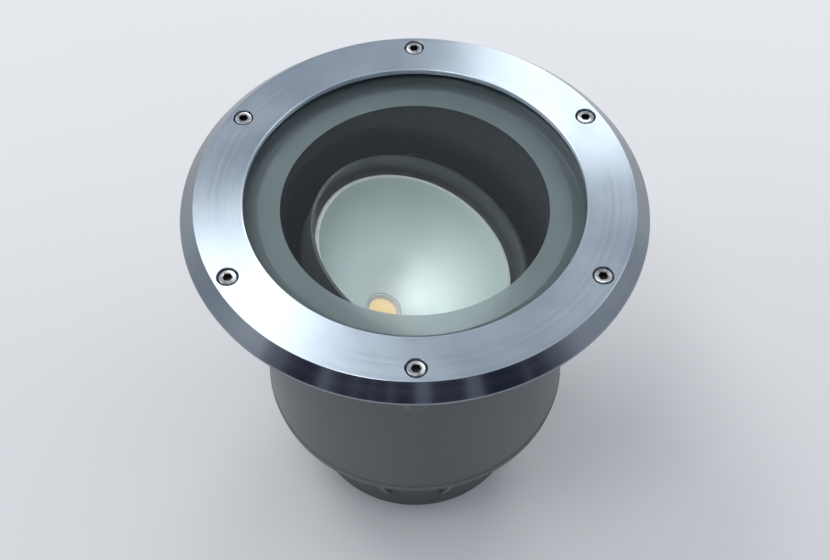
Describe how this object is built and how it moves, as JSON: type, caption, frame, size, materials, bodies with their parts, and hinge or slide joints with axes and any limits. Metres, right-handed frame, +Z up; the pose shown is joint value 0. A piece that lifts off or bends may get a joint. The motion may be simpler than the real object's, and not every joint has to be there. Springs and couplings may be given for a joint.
{
  "type": "in ground well light",
  "caption": "Round well light for the ground: bevelled steel ring with cap screws over thick glass with a frosted rim, tilting reflector head inside, ribbed can below with cable glands.",
  "frame": {"origin": "on the light's axis, at the finished ground level, which is the underside of the trim ring", "axes": "+Z up out of the ground; the reflector leans towards +X as it was set; the cable glands are on the +Y side"},
  "size_m": [0.27, 0.27, 0.2526],
  "materials": {
    "ring_steel": "satin stainless steel with a fine brushed grain",
    "screw_steel": "plain stainless steel",
    "washer_nylon": "black nylon",
    "clear_glass": "clear toughened glass with a slight green tint",
    "frosted_glass": "etched grey green band on the underside of the glass",
    "machined_steel": "turned stainless steel, satin",
    "black_silicone": "black silicone",
    "dark_coated_steel": "welded steel, dark grey powder coat",
    "silicone_rubber": "soft black rubber",
    "black_plastic": "matt black plastic",
    "zinc_steel": "zinc plated sheet steel",
    "black_casting": "cast aluminium, satin dark grey coat",
    "reflector_metal": "frosted anodised reflector",
    "sink_aluminium": "bare cast aluminium",
    "chip_ceramic": "white ceramic",
    "phosphor_gel": "yellow orange phosphor under clear gel",
    "white_plastic": "white plastic",
    "driver_case": "light grey plastic case",
    "brass_metal": "brass",
    "gland_plastic": "black nylon"
  },
  "bodies": {
    "housing": {"seat_flange": "machined_steel", "screw_bosses": "dark_coated_steel", "can_wall": "dark_coated_steel", "can_floor": "dark_coated_steel", "shelf_posts": "zinc_steel", "bay_wall": "dark_coated_steel", "gussets": "dark_coated_steel", "seat_seal": "silicone_rubber", "base_cover": "dark_coated_steel", "base_seal": "silicone_rubber", "base_screws": "screw_steel", "glare_shroud": "black_plastic", "yoke_shelf": "zinc_steel", "shelf_clips": "zinc_steel", "shelf_screws": "screw_steel", "gear_tray": "zinc_steel", "tray_screws": "screw_steel", "driver": "driver_case", "driver_screws": "screw_steel", "terminal_block": "white_plastic", "terminal_screws": "brass_metal", "earth_post": "brass_metal", "gland_bodies": "gland_plastic", "gland_nuts": "gland_plastic", "gland_seals": "silicone_rubber", "gland_locknuts": "gland_plastic", "vent_plug": "gland_plastic"},
    "cover": {"trim_ring": "ring_steel", "ring_screws": "screw_steel", "screw_washers": "washer_nylon", "cover_glass": "clear_glass", "frosted_band": "frosted_glass", "glass_bond": "black_silicone"},
    "yoke": {"yoke": "zinc_steel", "pivot_screws": "screw_steel", "pivot_washers": "washer_nylon"},
    "head": {"lamp_head": "black_casting", "reflector": "reflector_metal", "heat_sink": "sink_aluminium", "sink_screws": "screw_steel", "chip_board": "chip_ceramic", "phosphor": "phosphor_gel", "chip_holder": "white_plastic", "holder_screws": "screw_steel"}
  },
  "joints": [
    {"name": "cover_lift", "type": "slide", "parent": "housing", "child": "cover", "axis": [0, 0, 1], "range_m": [0, 0.08]},
    {"name": "yoke_turn", "type": "hinge", "parent": "housing", "child": "yoke", "pos_m": [0, 0, -0.098], "axis": [0, 0, 1], "range_deg": [-175, 175]},
    {"name": "head_tilt", "type": "hinge", "parent": "yoke", "child": "head", "pos_m": [0, 0, -0.055], "axis": [0, 1, 0], "range_deg": [-40, 0]}
  ]
}
